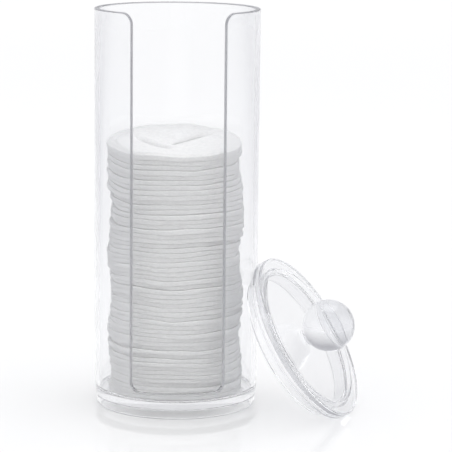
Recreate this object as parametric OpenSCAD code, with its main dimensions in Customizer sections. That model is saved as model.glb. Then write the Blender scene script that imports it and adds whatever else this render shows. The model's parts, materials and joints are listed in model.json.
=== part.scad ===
// Clear dispenser for round cotton pads, with its lid taken off and leaning on the body.
// The origin is the middle of the body's foot on the table, +Z is up and the slot faces -Y.

/* [Pads] */
// Diameter of a pad
pad_d = 56.2; // [50:0.1:64]
// Room between the stack and the body's wall, all round
pad_room = 4.6; // [3:0.1:6]
// Number of pads in the stack
pad_count = 54; // [30:1:54]
// Thickness of a loose pad at the top of the stack
pad_loft = 2.12; // [1.8:0.01:2.3]
// Share by which the bottom pad is pressed thinner than that
pad_squeeze = 0.19; // [0:0.01:0.3]
// Air between two pads
pad_ease = 0.05; // [0.02:0.01:0.1]
// Radius of a pad's pressed edge
pad_round = 0.6; // [0.3:0.1:0.6]
// How much the pads' radii differ, at most
pad_spread = 0.5; // [0:0.1:0.6]
// Number of loose pads at the top that fan open towards the back
fan_count = 16; // [4:1:18]
// Slope of the topmost pad, down to the front
fan_tilt = 6.4; // [0:0.1:7]

/* [Body] */
// Height of the body from the table to its rim
body_h = 169.5; // [150:0.5:200]
// Thickness of the side wall
wall = 2.3; // [1.8:0.1:3]
// Height of the floor that the pads lie on
floor_top = 7; // [6:0.1:9]
// Thickness of that floor
floor_t = 3; // [2:0.1:4]
// Height over which the foot draws in
foot_h = 9.7; // [9:0.1:11]
// How far the foot draws in on the radius
foot_in = 1; // [0.4:0.1:1.6]
// Radius of the foot's lower edge
foot_round = 1.2; // [0.6:0.1:1.5]
// Radius of the corner between the floor and the wall
floor_round = 2; // [1:0.1:2]
// Radius of the rim's two edges
rim_round = 0.6; // [0.3:0.1:0.8]

/* [Slot] */
// Angle that the slot spans round the body
slot_angle = 67; // [50:1:80]
// Angle at which the slot's side edges open outwards, seen from above
slot_flare = 14; // [5:1:25]
// Height of the slot's sill above the table
slot_sill = 11.2; // [11:0.1:20]
// Radius of the slot's two lower corners
sill_round = 4; // [2:0.1:5]
// Radius of the two corners where the slot meets the rim
mouth_round = 5; // [2:0.1:7]

/* [Lid] */
// How far the flange stands out past the body's wall
flange_over = 1.75; // [1:0.05:3]
// Height of the flange
flange_h = 4.9; // [4.4:0.1:6]
// Width of the raised ring round the lid's top
ring_w = 6.2; // [5:0.1:8]
// Depth of the lid's top face below that ring
recess = 1.8; // [1:0.1:2]
// Thickness of the lid's plate
plate_t = 2.4; // [2:0.1:2.6]
// Depth of the skirt's lower edge below the top of the ring
skirt_depth = 10; // [8:0.1:12]
// Thickness of the skirt
skirt_t = 2.2; // [1.8:0.1:2.6]
// Clearance between the skirt and the body's bore
skirt_gap = 0.4; // [0.2:0.05:0.8]
// Radius of the raised ring's edges and the flange's lower edge
lid_round = 1; // [0.5:0.1:1.4]
// Radius of the skirt's lower edges
skirt_round = 0.6; // [0.3:0.1:0.8]

/* [Knob] */
// Diameter of the ball
ball_d = 22.1; // [18:0.1:26]
// Diameter of the ball's neck
neck_d = 7.2; // [5:0.1:10]
// Gap between the ball and the lid's plate, which the neck fills
ball_gap = 0.2; // [0.1:0.1:2]

/* [Leaning lid] */
// Direction round the body in which the lid leans, from +X
lean_turn = -21.4; // [-45:0.1:45]
// Angle of the lid's axis above the table
lean_tilt = 31.3; // [22:0.1:45]
// Clearance where the skirt rests on the body's wall
lean_gap = 0.15; // [0.05:0.05:0.3]

/* [Hidden] */
$fn = 96;
over = 1;
hair = 0.02;
pad_r = pad_d / 2;
bore_r = pad_r + pad_room;
body_r = bore_r + wall;
foot_r = body_r - foot_in;
hollow_r = foot_r - wall;
hollow_h = floor_top - floor_t;
cut_reach = body_r / 2;
slot_w = slot_angle * PI / 180 * body_r;
corner_steps = 8;

flange_r = body_r + flange_over;
skirt_r = bore_r - skirt_gap;
ball_r = ball_d / 2;
ball_rise = ball_gap + ball_r;
neck_r = neck_d / 2;

// The flange's lower edge stands on the table and the skirt's lower edge rests on the wall
lid_z = (flange_h - lid_round) * sin(lean_tilt) + (flange_r - lid_round) * cos(lean_tilt) + lid_round;
skirt_rise = (skirt_depth - skirt_round) * cos(lean_tilt);
skirt_reach = (skirt_r - skirt_round) * sin(lean_tilt);
lid_x = body_r + lean_gap + skirt_rise + skirt_reach + skirt_round;

fan_from = pad_count - fan_count;

function two_digits(i) = str(i < 10 ? "0" : "", i);
function pad_name(i) = str("pad_", two_digits(i));
PADS = [for (i = [1 : pad_count]) pad_name(i)];

// Height of the face between pad i and the next one: the weight above presses the lower pads thinner
function level(i) = floor_top + pad_loft * (i - pad_squeeze * i * (1 - i / pad_count / 2));
function pad_t(i) = level(i) - level(i - 1) - pad_ease;

// The stack leans from side to side as it rises, and each pad strays a little by itself
sway_step = 19.6;
sway_start = 356;
function wave(i, step, start) = sin(i * step + start);
function sway(i) = (0.4 + 0.6 * i / pad_count) * wave(i, sway_step, sway_start);
function stray_x(i) = pad_room * (-0.08 + 0.24 * sway(i) + 0.07 * wave(i, 137, 50));
function stray_y(i) = pad_room * (0.06 * wave(i, 31, 80) + 0.05 * wave(i, 111, 0));
function pad_radius(i) = pad_r + pad_spread * (0.5 * wave(i, 47, 30) + 0.5 * wave(i, 158, 0));
function fan(i) = fan_tilt * max(0, i - fan_from) / fan_count;

// Outer form of the body as turned, with the foot drawn in and its lower edge rounded
module body_outside() {
    shoulder = body_h - rim_round;
    polygon([[0, foot_round], [foot_r, foot_round], [body_r, foot_h], [body_r, shoulder], [0, shoulder]]);
    square([foot_r - foot_round, foot_round + hair]);
    translate([foot_r - foot_round, foot_round]) circle(foot_round);
    translate([0, shoulder - hair]) square([body_r - rim_round, rim_round + hair]);
    translate([body_r - rim_round, shoulder]) circle(rim_round);
}

// Room for the pads, with a rounded corner at the floor and a rounded edge at the rim
module body_bore() {
    translate([0, floor_top + floor_round]) square([bore_r, body_h]);
    translate([0, floor_top]) square([bore_r - floor_round, floor_round + hair]);
    translate([bore_r - floor_round, floor_top + floor_round]) circle(floor_round);
    difference() {
        translate([0, body_h - rim_round]) square([bore_r + rim_round, rim_round + over]);
        translate([bore_r + rim_round, body_h - rim_round]) circle(rim_round);
    }
}

module body_section() {
    difference() {
        body_outside();
        body_bore();
        translate([0, -over]) square([hollow_r, hollow_h + over]);
    }
}

// One side of the slot's outline, from its sill to above the rim, as [distance round the wall, height]
function slot_side() = concat(
    [for (i = [0 : corner_steps])
        let (t = -90 + 90 * i / corner_steps)
        [slot_w / 2 - sill_round * (1 - cos(t)), slot_sill + sill_round * (1 + sin(t))]],
    [for (i = [0 : corner_steps])
        let (t = 180 - 90 * i / corner_steps)
        [slot_w / 2 + mouth_round * (1 + cos(t)), body_h + hair - mouth_round * (1 - sin(t))]],
    [[slot_w / 2 + mouth_round, body_h + over]]);

// The point of the cut at distance out from the wall's outer face, with side 1 to the right of the slot
function slot_point(q, side, out) =
    let (turn = side * q[0] / body_r * 180 / PI)
    let (flare = turn * slot_flare / (slot_angle / 2))
    [body_r * sin(turn) + out * sin(flare), -body_r * cos(turn) - out * cos(flare), q[1]];

// The slot's cut: its side faces open outwards by the flare, so the wall's cut edges face the front a little
module slot_cut() {
    side = slot_side();
    n = len(side);
    points = concat(
        [for (q = side) slot_point(q, -1, -cut_reach)],
        [for (q = side) slot_point(q, 1, -cut_reach)],
        [for (q = side) slot_point(q, -1, cut_reach)],
        [for (q = side) slot_point(q, 1, cut_reach)]);
    walls = [for (i = [0 : n - 2]) each [
        [n + i, n + i + 1, i + 1, i],
        [3 * n + i, 2 * n + i, 2 * n + i + 1, 3 * n + i + 1],
        [i, 2 * n + i + 1, 2 * n + i], [i, i + 1, 2 * n + i + 1],
        [n + i, 3 * n + i + 1, n + i + 1], [n + i, 3 * n + i, 3 * n + i + 1]]];
    ends = [[2 * n, 3 * n, n, 0], [n - 1, 2 * n - 1, 4 * n - 1, 3 * n - 1]];
    polyhedron(points, concat(walls, ends));
}

module body() {
    color([0.90, 0.92, 0.95, 0.45])
        difference() {
            rotate_extrude() body_section();
            slot_cut();
        }
}

// A band of the lid's section with all four edges rounded
module band(from_r, to_r, low, high, r) {
    translate([from_r, low + r]) square([to_r - from_r, high - low - 2 * r]);
    translate([from_r + r, low]) square([to_r - from_r - 2 * r, high - low]);
    for (x = [from_r + r, to_r - r], z = [low + r, high - r])
        translate([x, z]) circle(r);
}

module lid_section() {
    ring_in = flange_r - ring_w;
    band(ring_in, flange_r, -flange_h, 0, lid_round);
    band(skirt_r - skirt_t, skirt_r, -skirt_depth, -recess - lid_round, skirt_round);
    translate([0, -recess - plate_t]) square([flange_r - ring_w / 2, plate_t]);
    translate([skirt_r - skirt_t, -flange_h]) square([ring_w / 2, flange_h - recess]);
}

// Puts a lid made upright about the origin where it leans on the body
module leaning() {
    rotate([0, 0, lean_turn]) translate([lid_x, 0, lid_z]) rotate([0, 90 - lean_tilt, 0]) children();
}

module lid() {
    color([0.90, 0.92, 0.95, 0.45])
        leaning() rotate_extrude() lid_section();
}

module knob() {
    color([0.88, 0.90, 0.94, 0.6])
        leaning() translate([0, 0, -recess]) {
            translate([0, 0, ball_rise]) sphere(ball_r);
            cylinder(h = ball_rise, r = neck_r);
        }
}

// One pad of radius r and thickness t: two flat faces and a pressed, rounded edge
module pad_section(r, t) {
    square([r - pad_round, t]);
    translate([0, pad_round]) square([r, t - 2 * pad_round]);
    for (z = [pad_round, t - pad_round])
        translate([r - pad_round, z]) circle(pad_round);
}

// A pad slopes about the front edge of the stack, so fanned pads stay clear of each other
module pad(i) {
    color([0.97, 0.97, 0.96])
        translate([0, -pad_r, level(i - 1)]) rotate([fan(i), 0, 0])
            translate([stray_x(i), pad_r + stray_y(i), 0])
                rotate_extrude() pad_section(pad_radius(i), pad_t(i));
}

body();
lid();
knob();
for (i = [1 : pad_count])
    pad(i);
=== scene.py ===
# %% [markdown]
# # A clear dispenser for cotton pads, with its lid leaning on it
# The real object is three moulded pieces of clear acrylic, which are a round body with a tall open
# slot, a lid and a ball for a knob, and a stack of 54 round cotton pads.
# The CAD model holds the true sizes. This script keeps its frame and gives every piece its looks.

# %% Load the frame
import json
import math
import bmesh
import bpy
import numpy as np
from mathutils import Matrix, Vector

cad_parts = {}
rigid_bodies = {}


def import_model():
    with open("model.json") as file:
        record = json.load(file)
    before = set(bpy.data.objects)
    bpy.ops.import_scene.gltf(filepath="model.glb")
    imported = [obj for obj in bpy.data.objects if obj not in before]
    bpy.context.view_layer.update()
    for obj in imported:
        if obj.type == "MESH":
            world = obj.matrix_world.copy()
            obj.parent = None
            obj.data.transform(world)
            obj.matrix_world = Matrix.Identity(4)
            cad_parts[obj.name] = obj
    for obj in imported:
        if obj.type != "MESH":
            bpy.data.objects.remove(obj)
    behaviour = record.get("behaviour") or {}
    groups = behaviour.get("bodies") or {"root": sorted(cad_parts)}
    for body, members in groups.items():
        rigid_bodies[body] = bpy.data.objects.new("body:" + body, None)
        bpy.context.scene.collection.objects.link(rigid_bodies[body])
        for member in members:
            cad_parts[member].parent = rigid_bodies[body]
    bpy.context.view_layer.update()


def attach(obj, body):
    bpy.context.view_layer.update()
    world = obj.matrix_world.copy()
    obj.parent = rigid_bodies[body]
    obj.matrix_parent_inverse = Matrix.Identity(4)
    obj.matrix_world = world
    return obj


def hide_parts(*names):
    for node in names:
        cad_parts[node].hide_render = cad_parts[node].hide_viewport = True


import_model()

# %% [markdown]
# ## Sizes
# A dresser of CAD models repeats the few sizes that its own meshes need, in millimetres as on the
# drawing, and turns them into metres in one place. Each one is the source's value of that name,
# but for the edge radii in the last line, which are too small to matter in the CAD model.

# %% Write down the sizes
MM = 0.001
BODY_R, BORE_R, BODY_H = 35.0, 32.7, 169.5
FOOT_R, FOOT_H, HOLLOW_R, HOLLOW_H = 34.0, 9.7, 31.7, 4.0
FLOOR_TOP, FLOOR_ROUND, FOOT_ROUND = 7.0, 2.0, 1.2
SLOT_HALF, SLOT_SILL = math.radians(67) * BODY_R / 2, 11.2
SILL_ROUND, MOUTH_ROUND = 4.0, 5.0
SLOT_FLARE = math.radians(14)
FLANGE_R, FLANGE_H, RING_W, RECESS, PLATE_T = 36.75, 4.9, 6.2, 1.8, 2.4
SKIRT_R, SKIRT_T, SKIRT_DEPTH = 32.3, 2.2, 10.0
LID_ROUND, SKIRT_ROUND = 1.0, 0.6
BALL_R, BALL_GAP, NECK_R = 11.05, 0.2, 3.6
LEAN_TURN, LEAN_TILT, LEAN_GAP = math.radians(-21.4), math.radians(31.3), 0.15
PAD_R, PAD_ROOM, PAD_COUNT, PAD_LOFT = 28.1, 4.6, 54, 2.12
PAD_SQUEEZE, PAD_EASE, PAD_SPREAD, FAN_COUNT, FAN_TILT = 0.19, 0.05, 0.5, 16, 6.4
EDGE_ROUND, HOLLOW_ROUND, FOOT_IN_ROUND, INNER_ROUND, JOIN_ROUND = 0.55, 0.5, 0.4, 0.5, 0.4
print("body", 2 * BODY_R, "mm wide,", BODY_H, "mm high; pads", 2 * PAD_R, "mm wide")

# %% [markdown]
# ## The camera first
# A product photograph like this one is taken from a metre away with a long lens, a little above
# the object. The place of the camera was found from the two rims and the sides of the body, whose
# sizes are known. Setting it first lets every later piece be compared with the picture.

# %% Place the camera
CAMERA_SPOT = (-0.020417, -0.962306, 0.246236)
PAN, TILT, ROLL = (math.radians(a) for a in (-2.473, 80.004, 0.521))
camera_data = bpy.data.cameras.new("camera")
camera_data.lens = 182.26
camera_data.sensor_width = 36
camera_data.clip_start = 0.01
camera = bpy.data.objects.new("camera", camera_data)
camera.matrix_world = (Matrix.Translation(CAMERA_SPOT) @ Matrix.Rotation(PAN, 4, "Z")
                       @ Matrix.Rotation(TILT, 4, "X") @ Matrix.Rotation(ROLL, 4, "Z"))
bpy.context.scene.collection.objects.link(camera)
bpy.context.scene.camera = camera
print("camera", round(Vector(CAMERA_SPOT).length, 3), "m from the foot")

# %% [markdown]
# ## From points to a piece
# A mesh is a list of points and a list of faces that name them. Clear plastic shows every error in
# the direction of its surface, so the points also carry their own exact normals, worked out from
# the drawing, where Blender would otherwise guess them from the faces around.

# %% A helper that makes a piece of the object
def add_piece(name, points, faces, normals=None, node=None):
    """A smooth mesh from points in millimetres, which rides with the object and stands for a node."""
    mesh = bpy.data.meshes.new(name)
    mesh.from_pydata([tuple(p * MM) for p in np.asarray(points, float)], [], faces)
    shell = bmesh.new()
    shell.from_mesh(mesh)
    bmesh.ops.recalc_face_normals(shell, faces=shell.faces)
    shell.to_mesh(mesh)
    shell.free()
    mesh.polygons.foreach_set("use_smooth", [True] * len(mesh.polygons))
    if normals is not None:
        mesh.normals_split_custom_set_from_vertices([tuple(n) for n in normals])
    piece = bpy.data.objects.new(name, mesh)
    bpy.context.scene.collection.objects.link(piece)
    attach(piece, "root")
    if node:
        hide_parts(node)
    return piece


print("one millimetre of the drawing is", MM, "m in the scene")

# %% [markdown]
# ## Rounded sections
# Moulded plastic has no sharp edges: the mould is cut with small radii, and they catch the light as
# thin bright and dark lines. A bevel modifier could round a finished mesh, but a turned piece is
# simpler to round while it is still a flat section, where each corner is one arc.

# %% Round the corners of a section
TINY = 1e-6


def rounded_section(corners, steps=6):
    """(radius, height, corner radius) in order, as points and normals with an arc at each corner."""
    spots, normals = [], []
    count = len(corners)
    for k, (x, z, r) in enumerate(corners):
        here = np.array([x, z])
        if k in (0, count - 1):
            other = np.array(corners[1 if k == 0 else count - 2][:2])
            along = (other - here if k == 0 else here - other)
            along = along / np.linalg.norm(along)
            spots.append(here)
            normals.append(np.array([along[1], -along[0]]))
            continue
        before = here - np.array(corners[k - 1][:2])
        after = np.array(corners[k + 1][:2]) - here
        before, after = before / np.linalg.norm(before), after / np.linalg.norm(after)
        turn = before[0] * after[1] - before[1] * after[0]
        bend = math.acos(max(-1, min(1, before @ after)))
        reach = r * math.tan(bend / 2)
        side = 1 if turn > 0 else -1
        centre = here - before * reach + side * r * np.array([-before[1], before[0]])
        for s in range(steps + 1):
            a = side * bend * s / steps
            normal = np.array([before[1], -before[0]])
            normal = np.array([normal[0] * math.cos(a) - normal[1] * math.sin(a),
                               normal[0] * math.sin(a) + normal[1] * math.cos(a)])
            spots.append(centre + side * r * normal)
            normals.append(normal)
    return np.array(spots), np.array(normals)


print("a right angle of radius 1 becomes", len(rounded_section(
    [(0, 0, 0), (5, 0, 1), (5, 5, 0)])[0]), "points")

# %% [markdown]
# A turned piece is a stack of rings, one for each point of its section, with a strip of faces from
# each ring to the next. Blender's screw modifier does the same. Doing it here keeps each point's
# exact normal, and lets the body's foot take the uneven columns of its wall.

# %% Turn a section about the axis
def skin(rings):
    """Faces from each ring of points to the next. A ring of one point closes the skin."""
    faces = []
    for low, high in zip(rings, rings[1:]):
        around = max(len(low), len(high))
        for k in range(around):
            n = (k + 1) % around
            if len(low) == 1:
                faces.append((low[0], high[n], high[k]))
            elif len(high) == 1:
                faces.append((low[k], low[n], high[0]))
            else:
                faces.append((low[k], low[n], high[n], high[k]))
    return faces


def turned(section, normals, angles, first):
    """Turns a section about Z. A point on the axis becomes one point, and the rest become rings."""
    points, vectors, rings = [], [], []
    for (r, z), (nr, nz) in zip(section, normals):
        if r < TINY:
            rings.append([first + len(points)])
            points.append((0, 0, z))
            vectors.append((0, 0, math.copysign(1, nz)))
            continue
        rings.append([first + len(points) + k for k in range(len(angles))])
        points += [(r * math.sin(a), -r * math.cos(a), z) for a in angles]
        vectors += [(nr * math.sin(a), -nr * math.cos(a), nz) for a in angles]
    return points, vectors, skin(rings), rings


cone = turned([(1, 0), (0, 1)], [(1, 1), (0, 1)], range(8), 0)
print("a cone with 8 sides has", len(cone[0]), "points and", len(cone[2]), "faces")

# %% [markdown]
# ## The body
# The real body is a tube with a floor, moulded in one, with a slot cut down its front so that a
# hand can take a pad. Cutting a slot into a tube with a boolean leaves long ragged faces that show
# as streaks in clear plastic. Here the wall is laid out flat instead: columns run round it, each
# one ends at the rim, at the slot's edge or at its sill, and a rounded edge strip closes the wall.

# %% Lay out the edge of the wall, from the middle of the sill round to the back of the rim
WALL_LOW, FOOT_BLEND = 10.2, 3
SILL_STEPS, ARC_STEPS, RIM_STEPS = 14, 10, 96
MOUTH_END = (SLOT_HALF + MOUTH_ROUND) / BODY_R


def edge_path():
    """One side of the wall's edge, as (distance round, height, normal round, normal up)."""
    path = []
    sill_end = SLOT_HALF - SILL_ROUND
    for k in range(SILL_STEPS):
        path.append((sill_end * k / SILL_STEPS, SLOT_SILL, 0, 1))
    for k in range(ARC_STEPS + 1):
        a = math.radians(-90 + 90 * k / ARC_STEPS)
        path.append((sill_end + SILL_ROUND * math.cos(a), SLOT_SILL + SILL_ROUND * (1 + math.sin(a)),
                     -math.cos(a), -math.sin(a)))
    for k in range(ARC_STEPS + 1):
        a = math.radians(180 - 90 * k / ARC_STEPS)
        path.append((SLOT_HALF + MOUTH_ROUND * (1 + math.cos(a)),
                     BODY_H - MOUTH_ROUND * (1 - math.sin(a)), math.cos(a), math.sin(a)))
    rim_start, rim_end = SLOT_HALF + MOUTH_ROUND, math.pi * BODY_R
    for k in range(1, RIM_STEPS + 1):
        path.append((rim_start + (rim_end - rim_start) * k / RIM_STEPS, BODY_H, 0, 1))
    return path


right_edge = edge_path()
left_edge = [(-s, z, -ns, nz) for s, z, ns, nz in right_edge]
wall_edge = left_edge[:0:-1] + right_edge[:-1]
print("edge points round the wall:", len(wall_edge))

# %% [markdown]
# The slot's side edges don't point at the axis. The core of the mould that made the slot was pulled
# straight out to the front, so each edge opens outwards by a small flare. Its two long corners are
# rounded with an arc that starts square to the outer face and ends square to the cut.

# %% Round the edge across the wall
EDGE_STEPS = 5
FLARE_SHARE = SLOT_FLARE / (SLOT_HALF / BODY_R)
FLARE_FADE = 0.8


def round_way(angle):
    """The direction that points out from the axis at that angle round the body."""
    return np.array([math.sin(angle), -math.cos(angle), 0])


def flare_at(t):
    """Direction of the cut through the wall at angle t, flared at the slot and straight out behind."""
    if abs(t) <= MOUTH_END:
        return t * FLARE_SHARE
    fade = max(0.0, 1 - (abs(t) - MOUTH_END) / FLARE_FADE)
    return t - math.copysign(MOUTH_END, t) * fade * (1 - FLARE_SHARE)


def edge_row(s, z, ns, nz):
    """Points and normals from the outer face over the edge to the inner face."""
    t = s / BODY_R
    flare = flare_at(t)
    run = BODY_R * math.cos(t - flare) - math.sqrt(BORE_R ** 2 - (BODY_R * math.sin(t - flare)) ** 2)
    cut = np.array([ns * math.cos(flare), ns * math.sin(flare), nz * math.cos(t - flare)])
    cut = cut / np.linalg.norm(cut)
    outer = BODY_R * round_way(t) + np.array([0, 0, z])
    inner = outer - run * round_way(flare)
    inner_t = math.atan2(inner[0], -inner[1])
    row = []
    for corner, first, last in ((outer, round_way(t), cut), (inner, cut, -round_way(inner_t))):
        centre = corner - EDGE_ROUND * (first + last) / (1 + first @ last)
        bend = math.acos(first @ last)
        for k in range(EDGE_STEPS):
            a = k / (EDGE_STEPS - 1)
            normal = (math.sin((1 - a) * bend) * first + math.sin(a * bend) * last) / math.sin(bend)
            row.append((centre + EDGE_ROUND * normal, normal))
    for k, r, way in ((0, BODY_R, 1), (-1, BORE_R, -1)):
        own = math.atan2(row[k][0][0], -row[k][0][1])
        row[k] = (r * round_way(own) + np.array([0, 0, row[k][0][2]]), way * round_way(own), own)
    return row


slot_corner = right_edge[SILL_STEPS + ARC_STEPS + 1]
print("the cut is", round(edge_row(*slot_corner)[-1][2] * BORE_R, 1), "mm round at the bore")

# %% [markdown]
# Now the parts of the body meet. The strip of rounded rows runs once round the open edge, the
# columns of the outer and of the inner face hang from it, and the turned foot and floor take over
# where the columns end. Shared points make it one closed skin, which clear plastic needs: light
# that enters through a gap would never be counted as leaving.

# %% Build the body from its columns, its edge strip and its turned foot
def body_mesh():
    """Points, faces and normals of the body. The rows of the edge strip come first."""
    points, vectors, faces = [], [], []

    def put(point, normal):
        points.append(tuple(point))
        vectors.append(tuple(normal))
        return len(points) - 1

    strip, turns = [], []
    for step in wall_edge:
        row = edge_row(*step)
        strip.append([put(spot[0], spot[1]) for spot in row])
        turns.append((row[0][2], row[-1][2]))
    for row, following in zip(strip, strip[1:] + strip[:1]):
        for a, b, c, d in zip(row, row[1:], following[1:], following):
            faces.append((a, b, c, d))
    columns = []
    for k, (s, z, ns, nz) in enumerate(wall_edge):
        if columns and abs(columns[-1]["s"] - s) < TINY:
            columns[-1]["edges"].append(k)
        else:
            columns.append({"s": s, "edges": [k]})
    arc_low, arc_high = SLOT_SILL + SILL_ROUND, BODY_H - MOUTH_ROUND
    for place, (end, r, way) in enumerate(((0, BODY_R, 1), (-1, BORE_R, -1))):
        for column in columns:
            s, edges = column["s"], column["edges"]
            angle = turns[edges[0]][place]
            out = round_way(angle)

            def on_wall(z):
                return put(r * out + np.array([0, 0, z]), way * out)

            heights = {"angle": angle, "low": on_wall(WALL_LOW)}
            if abs(s) < SLOT_HALF - TINY:
                heights["sill"] = strip[edges[0]][end]
            elif abs(abs(s) - SLOT_HALF) < TINY:
                lower, upper = sorted(edges, key=lambda k: wall_edge[k][1])
                heights["sill"] = heights["arc_low"] = strip[lower][end]
                heights["arc_high"] = strip[upper][end]
            else:
                heights["arc_low"] = on_wall(arc_low)
                heights["arc_high"] = on_wall(arc_high)
                heights["rim"] = strip[edges[0]][end]
            column[place] = heights
        for one, two in zip(columns, columns[1:] + columns[:1]):
            p, q = one[place], two[place]
            if "sill" in p and "sill" in q:
                faces.append((p["low"], q["low"], q["sill"], p["sill"]))
                continue
            faces.append((p["low"], q["low"], q["arc_low"], p["arc_low"]))
            faces.append((p["arc_low"], q["arc_low"], q["arc_high"], p["arc_high"]))
            top = [v for v in (q.get("rim"), p.get("rim")) if v is not None]
            faces.append((p["arc_high"], q["arc_high"], *top))
    outside, outside_n = rounded_section([
        (0, HOLLOW_H, 0), (HOLLOW_R, HOLLOW_H, HOLLOW_ROUND), (HOLLOW_R, 0, FOOT_IN_ROUND),
        (FOOT_R, 0, FOOT_ROUND), (BODY_R, FOOT_H, FOOT_BLEND), (BODY_R, WALL_LOW, 0)])
    inside, inside_n = rounded_section([(BORE_R, WALL_LOW, 0), (BORE_R, FLOOR_TOP, FLOOR_ROUND),
                                        (0, FLOOR_TOP, 0)])
    turned_parts = ((outside, outside_n, -1), (inside, inside_n, 0))
    for place, (section, normals, seam) in enumerate(turned_parts):
        angles = [column[place]["angle"] for column in columns]
        more, more_n, more_f, rings = turned(section, normals, angles, len(points))
        points += more
        vectors += more_n
        swap = dict(zip(rings[seam], [column[place]["low"] for column in columns]))
        faces += [tuple(swap.get(v, v) for v in face) for face in more_f]
    used = sorted({v for face in faces for v in face})
    place_of = {v: k for k, v in enumerate(used)}
    return (np.array([points[v] for v in used]), [tuple(place_of[v] for v in face) for face in faces],
            np.array([vectors[v] for v in used]))


points, faces, normals = body_mesh()
body = add_piece("body_shell", points, faces, normals, node="body")
print("body:", len(points), "points,", len(faces), "faces")

# %% [markdown]
# The machine that trims the rim and the slot leaves them a little satin, while the sill, which is part
# of the mould, stays nearly clear. The cut edge is also painted with a dark grey shade and lets less
# light through, which draws the dark lines that clear plastic shows along its edges. A second material
# on part of a clear mesh would make its inside never end, so each point of the edge strip carries its
# share of satin and painted shade instead.

# %% Mark the cut edge
# Each point's share sets its satin and its painted dark grey shade, and the sill gets less of both.
SILL_SHARE = 0.3
ROW = 2 * EDGE_STEPS
shares = [0.0] * len(points)
for k, (s, z, ns, nz) in enumerate(wall_edge):
    above_sill = z > SLOT_SILL + SILL_ROUND - 0.01
    share = 1.0 if above_sill else SILL_SHARE + (1 - SILL_SHARE) * abs(ns)
    shares[k * ROW + 1:(k + 1) * ROW - 1] = [share] * (ROW - 2)
cut_edge = body.data.attributes.new("cut_edge", "FLOAT", "POINT")
cut_edge.data.foreach_set("value", shares)
print(sum(share > 0 for share in shares), "points lie on the cut edge")

# %% [markdown]
# ## The lid and its knob
# The real lid is turned in form: a plate with a raised ring round it, a flange that sits on the rim
# and a skirt that drops into the bore. The knob is a solid ball with a short neck. Both are drawn
# as half a section, rounded, turned upright about Z, and then laid over to where the CAD lid leans.

# %% Turn the lid and the knob, and lean them on the body
LID_STEPS, BALL_STEPS = 240, 96
AROUND = [2 * math.pi * k / LID_STEPS for k in range(LID_STEPS)]
lid_z = ((FLANGE_H - LID_ROUND) * math.sin(LEAN_TILT) + (FLANGE_R - LID_ROUND) * math.cos(LEAN_TILT)
         + LID_ROUND)
lid_x = (BODY_R + LEAN_GAP + (SKIRT_DEPTH - SKIRT_ROUND) * math.cos(LEAN_TILT)
         + (SKIRT_R - SKIRT_ROUND) * math.sin(LEAN_TILT) + SKIRT_ROUND)
LEANING = (Matrix.Rotation(LEAN_TURN, 4, "Z") @ Matrix.Translation((lid_x, 0, lid_z))
           @ Matrix.Rotation(math.pi / 2 - LEAN_TILT, 4, "Y"))


def leaned(points, vectors):
    """Takes points and normals from upright about Z to where the lid leans."""
    turn = np.array(LEANING.to_3x3())
    return np.array(points) @ turn.T + np.array(LEANING.to_translation()), np.array(vectors) @ turn.T


ring_in = FLANGE_R - RING_W
lid_section, lid_normals = rounded_section([
    (0, -RECESS - PLATE_T, 0), (SKIRT_R - SKIRT_T, -RECESS - PLATE_T, SKIRT_ROUND),
    (SKIRT_R - SKIRT_T, -SKIRT_DEPTH, SKIRT_ROUND), (SKIRT_R, -SKIRT_DEPTH, SKIRT_ROUND),
    (SKIRT_R, -FLANGE_H, JOIN_ROUND), (FLANGE_R, -FLANGE_H, LID_ROUND), (FLANGE_R, 0, LID_ROUND),
    (ring_in, 0, LID_ROUND), (ring_in, -RECESS, INNER_ROUND), (0, -RECESS, 0)])
points, vectors, faces, rings = turned(lid_section, lid_normals, AROUND, 0)
points, vectors = leaned(points, vectors)
lid = add_piece("lid_shell", points, faces, vectors, node="lid")

FACE_CLEAR, NECK_ROUND, NECK_FILLET = 0.02, 0.2, 0.5
ball_z = BALL_GAP + BALL_R
join = math.asin((NECK_R + NECK_FILLET) / BALL_R)
knob_section = [(0, FACE_CLEAR), (NECK_R - NECK_ROUND, FACE_CLEAR), (NECK_R, FACE_CLEAR + NECK_ROUND)]
knob_normals = [(0, -1), (0, -1), (1, 0)]
for k in range(BALL_STEPS + 1):
    a = (math.pi - join) * (1 - k / BALL_STEPS)
    knob_section.append((BALL_R * math.sin(a) if k < BALL_STEPS else 0, ball_z + BALL_R * math.cos(a)))
    knob_normals.append((math.sin(a), math.cos(a)))
knob_section = [(r, z - RECESS) for r, z in knob_section]
points, vectors, faces, rings = turned(knob_section, knob_normals, AROUND[::2], 0)
points, vectors = leaned(points, vectors)
knob = add_piece("knob_ball", points, faces, vectors, node="knob")
print("lid", len(lid.data.polygons), "faces; knob", len(knob.data.polygons), "faces")

# %% [markdown]
# ## The stack of pads
# A cotton pad is a round of pressed fibres with a crimped edge. In a stack the weight above presses
# the low pads thinner, the pads stray from side to side, and each one takes on the waves of the one
# below. One wave field for the whole stack, read at each face between two pads, gives all 54 pads
# those shared waves with no gaps or overlaps, and it fades to nothing at the floor.

# %% Where each pad lies
SWAY_STEP, SWAY_START = 19.6, 356
PRESSED_PADS = 7


def level(i):
    """Height of the face between pad i and the next, as in the CAD source."""
    return FLOOR_TOP + PAD_LOFT * (i - PAD_SQUEEZE * i * (1 - i / PAD_COUNT / 2))


def wave(i, step, start):
    """A sine in whole degrees, which shifts each pad a little from the last."""
    return math.sin(math.radians(i * step + start))


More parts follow.
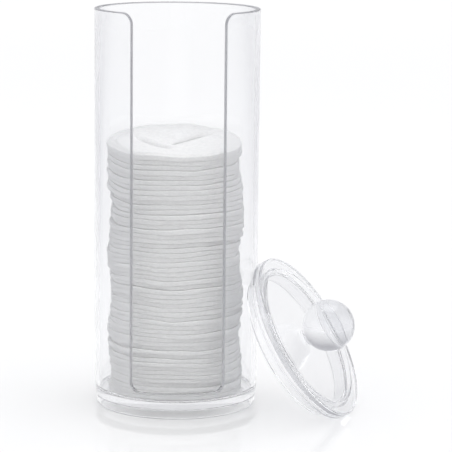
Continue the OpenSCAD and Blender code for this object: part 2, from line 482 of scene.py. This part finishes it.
def pad_place(i):
    """Offset, radius, thickness and slope of pad i, as in the CAD source."""
    sway = (0.4 + 0.6 * i / PAD_COUNT) * wave(i, SWAY_STEP, SWAY_START)
    x = PAD_ROOM * (-0.08 + 0.24 * sway + 0.07 * wave(i, 137, 50))
    y = PAD_ROOM * (0.06 * wave(i, 31, 80) + 0.05 * wave(i, 111, 0))
    r = PAD_R + PAD_SPREAD * (0.5 * wave(i, 47, 30) + 0.5 * wave(i, 158, 0))
    t = level(i) - level(i - 1) - PAD_EASE
    fan = math.radians(FAN_TILT * max(0, i - (PAD_COUNT - FAN_COUNT)) / FAN_COUNT)
    return x, y, r, t, fan


chance = np.random.RandomState(7)
WAVES = [(chance.uniform(0, 2 * math.pi), 2 * math.pi / chance.uniform(26, 60),
          chance.uniform(0.05, 0.22), chance.uniform(0, 2 * math.pi)) for _ in range(8)]
LOOSE = [(chance.uniform(0, 2 * math.pi), 2 * math.pi / chance.uniform(9, 22),
          chance.uniform(0.6, 2.6), chance.uniform(0, 2 * math.pi)) for _ in range(8)]


SHARED_WAVE, LOOSE_WAVE = 0.15, 0.05


def sag(i, x, y):
    """How far the face above pad i waves up and down, in millimetres, at x and y."""
    fade = min(1.0, i / PRESSED_PADS)
    shared = sum(np.sin((x * math.cos(d) + y * math.sin(d)) * f + i * s + p) for d, f, s, p in WAVES)
    loose = sum(np.sin((x * math.cos(d) + y * math.sin(d)) * f + i * s + p) for d, f, s, p in LOOSE)
    return fade * (SHARED_WAVE * shared + LOOSE_WAVE * loose)


print("top of the stack at", round(level(PAD_COUNT), 1), "mm")

# %% [markdown]
# Each pad's crimped edge is nearly upright, with a shallow groove where it meets its neighbour. Most
# grooves are shut by the weight above and a few stand open, where pads were put in by the handful.
# The depth belongs to the face between two pads, so both pads step back there together.

# %% How deep the groove is at each face, all round
HEIGHTS = (0, 0.03, 0.08, 0.15, 0.25, 0.38, 0.5, 0.62, 0.75, 0.85, 0.92, 0.97, 1)
OPEN_FACES = {13: 0.08, 20: 0.1, 26: 0.25, 30: 0.06, 34: 0.16,
              36: 0.1, 39: 0.14, 42: 0.1, 46: 0.06, 49: 0.08}


def groove(i, turn):
    """Depth of the groove above pad i at the angles in turn, in millimetres."""
    dice = np.random.RandomState(500 + i)
    depth = 0.06 + 0.05 * dice.rand()
    for f in (1, 2, 3, 5, 8, 13):
        depth = depth + 0.03 * dice.normal() / f ** 0.3 * np.sin(
            f * turn + dice.uniform(0, 2 * math.pi))
    return np.clip(depth, 0.0, 0.3) + OPEN_FACES.get(i, 0) * (0.6 + 0.4 * np.sin(turn * 2 + i))


def outline(i, turn):
    """How far pad i's own edge stands in or out at the angles in turn."""
    dice = np.random.RandomState(100 + i)
    loose = 0.3 + 0.7 * i / PAD_COUNT
    edge = loose * (0.2 * dice.normal() + 0.35 * dice.normal() * np.sin(
        turn + dice.uniform(0, 2 * math.pi)))
    for f in range(2, 44):
        edge += dice.normal() * 0.15 / f ** 0.7 * np.sin(f * turn + dice.uniform(0, 2 * math.pi))
    return edge


front_depths = [groove(i, np.zeros(1))[0] for i in range(1, PAD_COUNT)]
print("grooves from", round(min(front_depths), 2), "to", round(max(front_depths), 2), "mm")

# %% [markdown]
# The topmost pad shows its whole face. It was pinched when it was dropped in, so two creases run
# down to a point near the front with a hollow between them, and its crimped rim stands up a little.
# Every crease is a line on the face, and a point's height depends on its distance from that line.

# %% Crease the topmost pad
# Each crease is its start, its end, how deep and how wide it is, in millimetres from the pad's middle.
CREASES = (((-17.0, 6.5), (-0.5, -15.5), 1.9, 1.2), ((17.0, 17.0), (-3.0, -8.0), 2.2, 2.8),
           ((-14.0, 17.0), (2.0, 3.0), 0.8, 2.2), ((5.0, 25.0), (-9.0, 12.0), 0.6, 2.2),
           ((23.0, 5.0), (6.0, -9.0), 0.6, 2.0))
DENT_X, DENT_Y, DENT_WIDE, DENT_DEEP = 3, 1, 7, 1.6


def crumple(x, y, radius):
    """Height that the creases, the hollow and the rim add to the topmost face."""
    rise = np.zeros(len(x))
    for start, end, deep, wide in CREASES:
        run = np.subtract(end, start)
        length = np.hypot(*run)
        run = run / length
        along = ((x - start[0]) * run[0] + (y - start[1]) * run[1]) / length
        off = (x - start[0]) * -run[1] + (y - start[1]) * run[0]
        shown = np.clip(along / 0.3 + 0.1, 0, 1) * np.clip((1 - along) / 0.3 + 0.1, 0, 1)
        shown = shown * shown * (3 - 2 * shown)
        rise -= deep * shown * np.exp(-(off / wide) ** 2)
        rise += 0.35 * deep * shown * np.exp(-((off - 2.4 * wide) / (1.4 * wide)) ** 2)
    rise -= DENT_DEEP * np.exp(-((x - DENT_X) / DENT_WIDE) ** 2 - ((y - DENT_Y) / DENT_WIDE) ** 2)
    rise += 0.2 * np.sin(0.21 * x + 0.13 * y + 1) + 0.12 * np.sin(0.37 * y - 0.31 * x)
    reach = np.hypot(x, y)
    left = 0.5 - 0.5 * (x + 0.6 * y) / np.maximum(reach, 1)
    rise += (0.15 + 0.75 * left) * np.exp(-((reach - radius + 1.2) / 0.6) ** 2)
    rise -= 0.5 * left * np.exp(-((reach - radius + 2.9) / 0.6) ** 2)
    return rise * np.clip((radius - reach) / 0.8, 0, 1)


print("the hollow is", round(-crumple(np.array([2.0]), np.array([4.0]), PAD_R)[0], 2), "mm deep")

# %% [markdown]
# A pad is a pile of rings: out over its lower face, up its edge and back in over its upper face.
# Rings are simpler to shape than a sculpted grid, because each one has a single height in the pad.
# The topmost pad gets more rings and more points, as only its face is seen whole.

# %% Build the pads
FACE_RINGS = (0.0, 0.25, 0.5, 0.7, 0.84, 0.93, 0.98)
TOP_RINGS = tuple(np.linspace(0, 0.985, 64))
GROOVE_RISE, CRIMP_SHARE, FLOOR_GAP = 0.11, 0.84, 0.05


def pad_mesh(i):
    """Points and faces of pad i, in its place in the stack."""
    topmost = i == PAD_COUNT
    around = 288 if topmost else 144
    x0, y0, radius, thick, fan = pad_place(i)
    turn = np.linspace(0, 2 * math.pi, around, endpoint=False)
    edge, low_groove, high_groove = outline(i, turn), groove(i - 1, turn), groove(i, turn)
    upper_rings = TOP_RINGS if topmost else FACE_RINGS
    rows = ([(share, 0) for share in FACE_RINGS] + [(None, u) for u in HEIGHTS]
            + [(share, 1) for share in upper_rings[::-1]])
    points, rings = [], []
    c, s = math.cos(fan), math.sin(fan)
    for share, u in rows:
        back = (low_groove * math.exp(-(u / GROOVE_RISE) ** 2)
                + high_groove * math.exp(-((1 - u) / GROOVE_RISE) ** 2))
        rim = radius + edge - back - 0.05 * math.exp(-((u - 0.5) / 0.1) ** 2)
        if share == 0:
            x, y, parted = np.array([x0]), np.array([y0]), 0
        else:
            reach = rim if share is None else rim * share
            x, y = x0 + reach * np.cos(turn), y0 + reach * np.sin(turn)
            crimped = 1 if share is None else max(0, (share - CRIMP_SHARE) / (1 - CRIMP_SHARE))
            parted = 0.2 * back * crimped
        lift = FLOOR_GAP if i == 1 else 0
        low, high = lift + sag(i - 1, x, y), thick + sag(i, x, y)
        z = low + (high - low) * u + parted * (1 - 2 * u)
        if topmost and share is not None and u == 1:
            z = z + crumple(x - x0, y - y0, radius)
        rings.append([len(points) + k for k in range(len(x))])
        for px, py, pz in zip(x, y, z):
            points.append((px, (py + PAD_R) * c - pz * s - PAD_R,
                           (py + PAD_R) * s + pz * c + level(i - 1)))
    return np.array(points), skin(rings)


pads = []
for i in range(1, PAD_COUNT + 1):
    points, faces = pad_mesh(i)
    pad = add_piece(f"cotton_pad_{i:02d}", points, faces, node=f"pad_{i:02d}")
    pads.append(pad)
print(len(pads), "pads of", len(pads[0].data.polygons), "faces each")

# %% [markdown]
# ## Clear acrylic
# Acrylic bends light by 1.49 and swallows a little of it, which is why its edges look grey: light
# runs a long way inside the wall before it leaves there. Volume Absorption gives that from every
# angle with no painting. Shadow rays can't bend, so for them the plastic is a pale see-through
# film, and the lamps reach the pads. Cycles stops a ray after four reflections and would leave
# black bands in the lid, so a ray that was reflected three times goes out through the film too.

# %% Mix the acrylic
CLEAR, HAZY = (0.985, 0.987, 0.992, 1), (0.958, 0.96, 0.967, 1)
# The first colour on the next line is a painted shade, the dark grey that the cut edge turns to.
PAINTED_EDGE_SHADE, FILM = (0.3, 0.3, 0.32, 1), (0.965, 0.968, 0.972, 1)
LAST_REFLECTION = 2.5


def connect(tree, output, target):
    tree.links.new(output, target)


def math_node(tree, operation, *inputs):
    """A Math node whose inputs are numbers, outputs of other nodes, or None to leave one alone."""
    node = tree.nodes.new("ShaderNodeMath")
    node.operation = operation
    for place, value in enumerate(inputs):
        if isinstance(value, (int, float)):
            node.inputs[place].default_value = value
        elif value is not None:
            connect(tree, value, node.inputs[place])
    return node.outputs[0]


def clear_acrylic(name, density, tint, clear=0.97, rough=0.02, cut=None):
    """Clear plastic. With cut, the point attribute cut_edge makes it satin and paints a dark grey
    shade on it.
    """
    material = bpy.data.materials.new(name)
    material.use_nodes = True
    tree = material.node_tree
    tree.nodes.clear()
    out = tree.nodes.new("ShaderNodeOutputMaterial")
    place = tree.nodes.new("ShaderNodeTexCoord")
    smudge = tree.nodes.new("ShaderNodeTexNoise")
    smudge.inputs["Scale"].default_value = 70
    smudge.inputs["Detail"].default_value = 4
    haze = tree.nodes.new("ShaderNodeMapRange")
    haze.inputs["From Min"].default_value = 0.45
    haze.inputs["From Max"].default_value = 0.75
    haze.inputs["To Min"].default_value = 0.0
    haze.inputs["To Max"].default_value = rough
    flow = tree.nodes.new("ShaderNodeTexNoise")
    flow.inputs["Scale"].default_value = 45
    flow.inputs["Detail"].default_value = 1
    swell = tree.nodes.new("ShaderNodeBump")
    swell.inputs["Strength"].default_value = 1
    swell.inputs["Distance"].default_value = 0.00003
    shell = tree.nodes.new("ShaderNodeBsdfPrincipled")
    shell.inputs["Base Color"].default_value = tint
    shell.inputs["Transmission Weight"].default_value = clear
    shell.inputs["IOR"].default_value = 1.49
    film = tree.nodes.new("ShaderNodeBsdfTransparent")
    film.inputs["Color"].default_value = FILM
    rays = tree.nodes.new("ShaderNodeLightPath")
    choose = tree.nodes.new("ShaderNodeMixShader")
    inside = tree.nodes.new("ShaderNodeVolumeAbsorption")
    inside.inputs["Color"].default_value = (0.35, 0.38, 0.46, 1)
    inside.inputs["Density"].default_value = density
    connect(tree, place.outputs["Object"], smudge.inputs["Vector"])
    connect(tree, place.outputs["Object"], flow.inputs["Vector"])
    connect(tree, smudge.outputs["Fac"], haze.inputs["Value"])
    if cut:
        edge = tree.nodes.new("ShaderNodeAttribute")
        edge.attribute_name = "cut_edge"
        satin = math_node(tree, "MULTIPLY_ADD", edge.outputs["Fac"], 0.3, haze.outputs["Result"])
        # Less light goes through the cut edge, so more of its painted dark grey shade shows.
        edge_transmission = tree.nodes.new("ShaderNodeMapRange")
        edge_transmission.inputs["To Min"].default_value = clear
        edge_transmission.inputs["To Max"].default_value = cut
        # Painted shade: the colour of the cut edge turns from the clear tint to dark grey.
        painted_shade = tree.nodes.new("ShaderNodeMix")
        painted_shade.data_type = "RGBA"
        painted_shade.inputs["A"].default_value = tint
        painted_shade.inputs["B"].default_value = PAINTED_EDGE_SHADE
        connect(tree, edge.outputs["Fac"], painted_shade.inputs["Factor"])
        connect(tree, painted_shade.outputs["Result"], shell.inputs["Base Color"])
        connect(tree, edge.outputs["Fac"], edge_transmission.inputs["Value"])
        connect(tree, satin, shell.inputs["Roughness"])
        connect(tree, edge_transmission.outputs["Result"], shell.inputs["Transmission Weight"])
    else:
        connect(tree, haze.outputs["Result"], shell.inputs["Roughness"])
    connect(tree, flow.outputs["Fac"], swell.inputs["Height"])
    connect(tree, swell.outputs["Normal"], shell.inputs["Normal"])
    trapped = math_node(tree, "GREATER_THAN", rays.outputs["Glossy Depth"], LAST_REFLECTION)
    either = math_node(tree, "MAXIMUM", rays.outputs["Is Shadow Ray"], trapped)
    connect(tree, either, choose.inputs["Fac"])
    connect(tree, shell.outputs["BSDF"], choose.inputs[1])
    connect(tree, film.outputs["BSDF"], choose.inputs[2])
    connect(tree, choose.outputs["Shader"], out.inputs["Surface"])
    connect(tree, inside.outputs["Volume"], out.inputs["Volume"])
    return material


PLASTICS = ((body, "clear_body", 1.6, CLEAR, 0.85), (lid, "clear_lid", 4, HAZY, None),
            (knob, "clear_knob", 5, HAZY, None))
for piece, slot_name, density, tint, cut in PLASTICS:
    piece.data.materials.append(clear_acrylic(slot_name, density, tint, cut=cut))
print("acrylic on", body.name, lid.name, knob.name)

# %% [markdown]
# ## Cotton
# Pressed cotton scatters nearly all light and has no gloss. Up close it is a felt of fine fibres
# with small lumps. Noise at the size of the lumps and stretched noise at the size of the fibres
# drive both the bump and a faint change of tone.

# %% Mix the cotton
def cotton_felt():
    """White felt with fine fibres and small lumps."""
    material = bpy.data.materials.new("cotton")
    material.use_nodes = True
    tree = material.node_tree
    shade = tree.nodes["Principled BSDF"]
    place = tree.nodes.new("ShaderNodeTexCoord")
    lumps = tree.nodes.new("ShaderNodeTexNoise")
    lumps.inputs["Scale"].default_value = 700
    lumps.inputs["Detail"].default_value = 3
    squash = tree.nodes.new("ShaderNodeMapping")
    squash.inputs["Scale"].default_value = (1, 1, 3.5)
    fibres = tree.nodes.new("ShaderNodeTexNoise")
    fibres.inputs["Scale"].default_value = 2600
    fibres.inputs["Detail"].default_value = 2
    fibres.inputs["Distortion"].default_value = 1.5
    together = math_node(tree, "ADD", lumps.outputs["Fac"], fibres.outputs["Fac"])
    felt = tree.nodes.new("ShaderNodeBump")
    felt.inputs["Strength"].default_value = 0.5
    felt.inputs["Distance"].default_value = 0.00025
    tone = tree.nodes.new("ShaderNodeValToRGB")
    tone.color_ramp.elements[0].position = 0.35
    tone.color_ramp.elements[0].color = (0.87, 0.87, 0.87, 1)
    tone.color_ramp.elements[1].position = 0.65
    tone.color_ramp.elements[1].color = (0.93, 0.93, 0.925, 1)
    shade.inputs["Roughness"].default_value = 0.95
    shade.inputs["Specular IOR Level"].default_value = 0.15
    shade.inputs["Sheen Weight"].default_value = 0.15
    shade.inputs["Sheen Roughness"].default_value = 0.6
    shade.inputs["Subsurface Weight"].default_value = 0.6
    shade.inputs["Subsurface Radius"].default_value = (1, 1, 1)
    shade.inputs["Subsurface Scale"].default_value = 0.0012
    connect(tree, place.outputs["Object"], squash.inputs["Vector"])
    connect(tree, squash.outputs["Vector"], lumps.inputs["Vector"])
    connect(tree, squash.outputs["Vector"], fibres.inputs["Vector"])
    connect(tree, together, felt.inputs["Height"])
    connect(tree, lumps.outputs["Fac"], tone.inputs["Fac"])
    connect(tree, tone.outputs["Color"], shade.inputs["Base Color"])
    connect(tree, felt.outputs["Normal"], shade.inputs["Normal"])
    return material


cotton = cotton_felt()
for pad in pads:
    pad.data.materials.append(cotton)
print("cotton on", len(pads), "pads")

# %% [markdown]
# ## The floor and the light
# The photograph is lit through a big white cloth overhead and softer ones in front and at the sides,
# on a white sweep. Floor and sky are white to the camera. Light that bounces off them onto the
# cotton is dimmer, so the stack keeps its soft shading, and the floor keeps the object's shadow.

# %% Tell the rays apart
def sees_white(tree):
    """1 for a ray from the camera, a mirror or clear plastic, and 0 for light that only bounces."""
    rays = tree.nodes.new("ShaderNodeLightPath")
    mirrored = math_node(tree, "MAXIMUM", rays.outputs["Is Camera Ray"], rays.outputs["Is Glossy Ray"])
    return math_node(tree, "MAXIMUM", mirrored, rays.outputs["Is Transmission Ray"]), rays


def colour_mix(tree, share, first, second):
    """The colour between first and second at that share. Either can be a node's output."""
    mix = tree.nodes.new("ShaderNodeMix")
    mix.data_type = "RGBA"
    for name, value in (("Factor", share), ("A", first), ("B", second)):
        if isinstance(value, tuple):
            mix.inputs[name].default_value = value
        else:
            connect(tree, value, mix.inputs[name])
    return mix.outputs["Result"]


print("floor and sky tell camera, mirrored and refracted rays from the rest")

# %% [markdown]
# A real studio is darker beside the sweep, and clear plastic shows it as grey lines along its edges.
# So for rays that the plastic bends or mirrors the floor turns greyer to both sides, from near the
# object outwards, while the camera still sees it white. Real walls would do the same, but they
# would have to be moved for each view.

# %% Lay the floor
FLOOR_WHITE, FLOOR_GREY = (0.8, 0.8, 0.8, 1), (0.54, 0.54, 0.575, 1)
GREY_FROM, GREY_TO = 0.12, 0.45
GLOW_NEAR, GLOW_FAR = 0.212, 0.15
bpy.ops.mesh.primitive_plane_add(size=8, location=(0, 0, 0))
floor = bpy.context.object
floor.name = "studio_floor"
sweep = bpy.data.materials.new("white_sweep")
sweep.use_nodes = True
tree = sweep.node_tree
tree.nodes.clear()
out = tree.nodes.new("ShaderNodeOutputMaterial")
paper = tree.nodes.new("ShaderNodeBsdfPrincipled")
paper.inputs["Roughness"].default_value = 0.08
paper.inputs["Specular IOR Level"].default_value = 1
glow = tree.nodes.new("ShaderNodeEmission")
both = tree.nodes.new("ShaderNodeAddShader")
choose = tree.nodes.new("ShaderNodeMixShader")
place = tree.nodes.new("ShaderNodeTexCoord")
split = tree.nodes.new("ShaderNodeSeparateXYZ")
away = tree.nodes.new("ShaderNodeMapRange")
away.interpolation_type = "SMOOTHSTEP"
away.inputs["From Min"].default_value = GREY_FROM
away.inputs["From Max"].default_value = GREY_TO
dimmed = tree.nodes.new("ShaderNodeMapRange")
dimmed.inputs["To Min"].default_value = GLOW_NEAR
dimmed.inputs["To Max"].default_value = GLOW_FAR
white_rays, rays = sees_white(tree)
beside = math_node(tree, "ABSOLUTE", split.outputs["X"])
unseen = math_node(tree, "SUBTRACT", 1, rays.outputs["Is Camera Ray"])
gone = math_node(tree, "MULTIPLY", away.outputs["Result"], unseen)
connect(tree, place.outputs["Object"], split.inputs["Vector"])
connect(tree, beside, away.inputs["Value"])
connect(tree, gone, dimmed.inputs["Value"])
connect(tree, colour_mix(tree, gone, FLOOR_WHITE, FLOOR_GREY), paper.inputs["Base Color"])
connect(tree, dimmed.outputs["Result"], glow.inputs["Strength"])
connect(tree, paper.outputs["BSDF"], both.inputs[0])
connect(tree, glow.outputs["Emission"], both.inputs[1])
connect(tree, white_rays, choose.inputs["Fac"])
connect(tree, paper.outputs["BSDF"], choose.inputs[1])
connect(tree, both.outputs["Shader"], choose.inputs[2])
connect(tree, choose.outputs["Shader"], out.inputs["Surface"])
floor.data.materials.append(sweep)
print("floor", tuple(round(v, 1) for v in floor.dimensions), "m")

# %% [markdown]
# Four cloths are lit from behind: a big one overhead, which shades the stack from the top down, and
# three weak ones in front and at the sides. A large lamp close by gives the same soft edges as a
# cloth, so each one is an area lamp that is turned towards the middle of the object.

# %% Hang the lamps
AIM = Vector((0, 0, 0.08))
LAMPS = (("top_cloth", (0.05, 0.15, 1.35), 1.2, 1.0, 5.3),
         ("front_cloth", (0.1, -1.35, 0.55), 1.0, 0.8, 1.1),
         ("left_cloth", (-1.15, -0.45, 0.5), 0.9, 0.7, 1.0),
         ("right_cloth", (1.15, -0.3, 0.5), 0.9, 0.7, 1.4))
for name, spot, width, height, watts in LAMPS:
    lamp_data = bpy.data.lights.new(name, "AREA")
    lamp_data.shape = "RECTANGLE"
    lamp_data.size, lamp_data.size_y, lamp_data.energy = width, height, watts
    lamp = bpy.data.objects.new(name, lamp_data)
    lamp.location = spot
    lamp.rotation_euler = (AIM - Vector(spot)).to_track_quat("-Z", "Y").to_euler()
    bpy.context.scene.collection.objects.link(lamp)
    print(name, watts, "W at", spot)

# %% [markdown]
# The sky is white near the horizon and greyer overhead for mirrored and refracted rays, which gives
# the lid's ring and the ball their grey shades. Light that only bounces meets an even, dimmer sky.

# %% Set the sky
SKY_LOW, SKY_HIGH = (0.92, 0.92, 0.93, 1), (0.45, 0.45, 0.48, 1)
BOUNCE_SKY, BOUNCE_STRENGTH = (0.98, 0.985, 1, 1), 0.78
world = bpy.data.worlds.new("white_sky")
bpy.context.scene.world = world
world.use_nodes = True
tree = world.node_tree
tree.nodes.clear()
out = tree.nodes.new("ShaderNodeOutputWorld")
white = tree.nodes.new("ShaderNodeBackground")
place = tree.nodes.new("ShaderNodeTexCoord")
split = tree.nodes.new("ShaderNodeSeparateXYZ")
room = tree.nodes.new("ShaderNodeValToRGB")
room.color_ramp.elements[0].position = 0.05
room.color_ramp.elements[0].color = SKY_LOW
room.color_ramp.elements[1].position = 0.5
room.color_ramp.elements[1].color = SKY_HIGH
dim = tree.nodes.new("ShaderNodeBackground")
dim.inputs["Color"].default_value = BOUNCE_SKY
dim.inputs["Strength"].default_value = BOUNCE_STRENGTH
choose = tree.nodes.new("ShaderNodeMixShader")
white_rays, rays = sees_white(tree)
plain = colour_mix(tree, rays.outputs["Is Camera Ray"], room.outputs["Color"], (1, 1, 1, 1))
connect(tree, place.outputs["Generated"], split.inputs["Vector"])
connect(tree, split.outputs["Z"], room.inputs["Fac"])
connect(tree, plain, white.inputs["Color"])
connect(tree, white_rays, choose.inputs["Fac"])
connect(tree, dim.outputs["Background"], choose.inputs[1])
connect(tree, white.outputs["Background"], choose.inputs[2])
connect(tree, choose.outputs["Shader"], out.inputs["Surface"])
bpy.context.scene.view_settings.view_transform = "Standard"
print("sky strength to the cotton:", BOUNCE_STRENGTH)
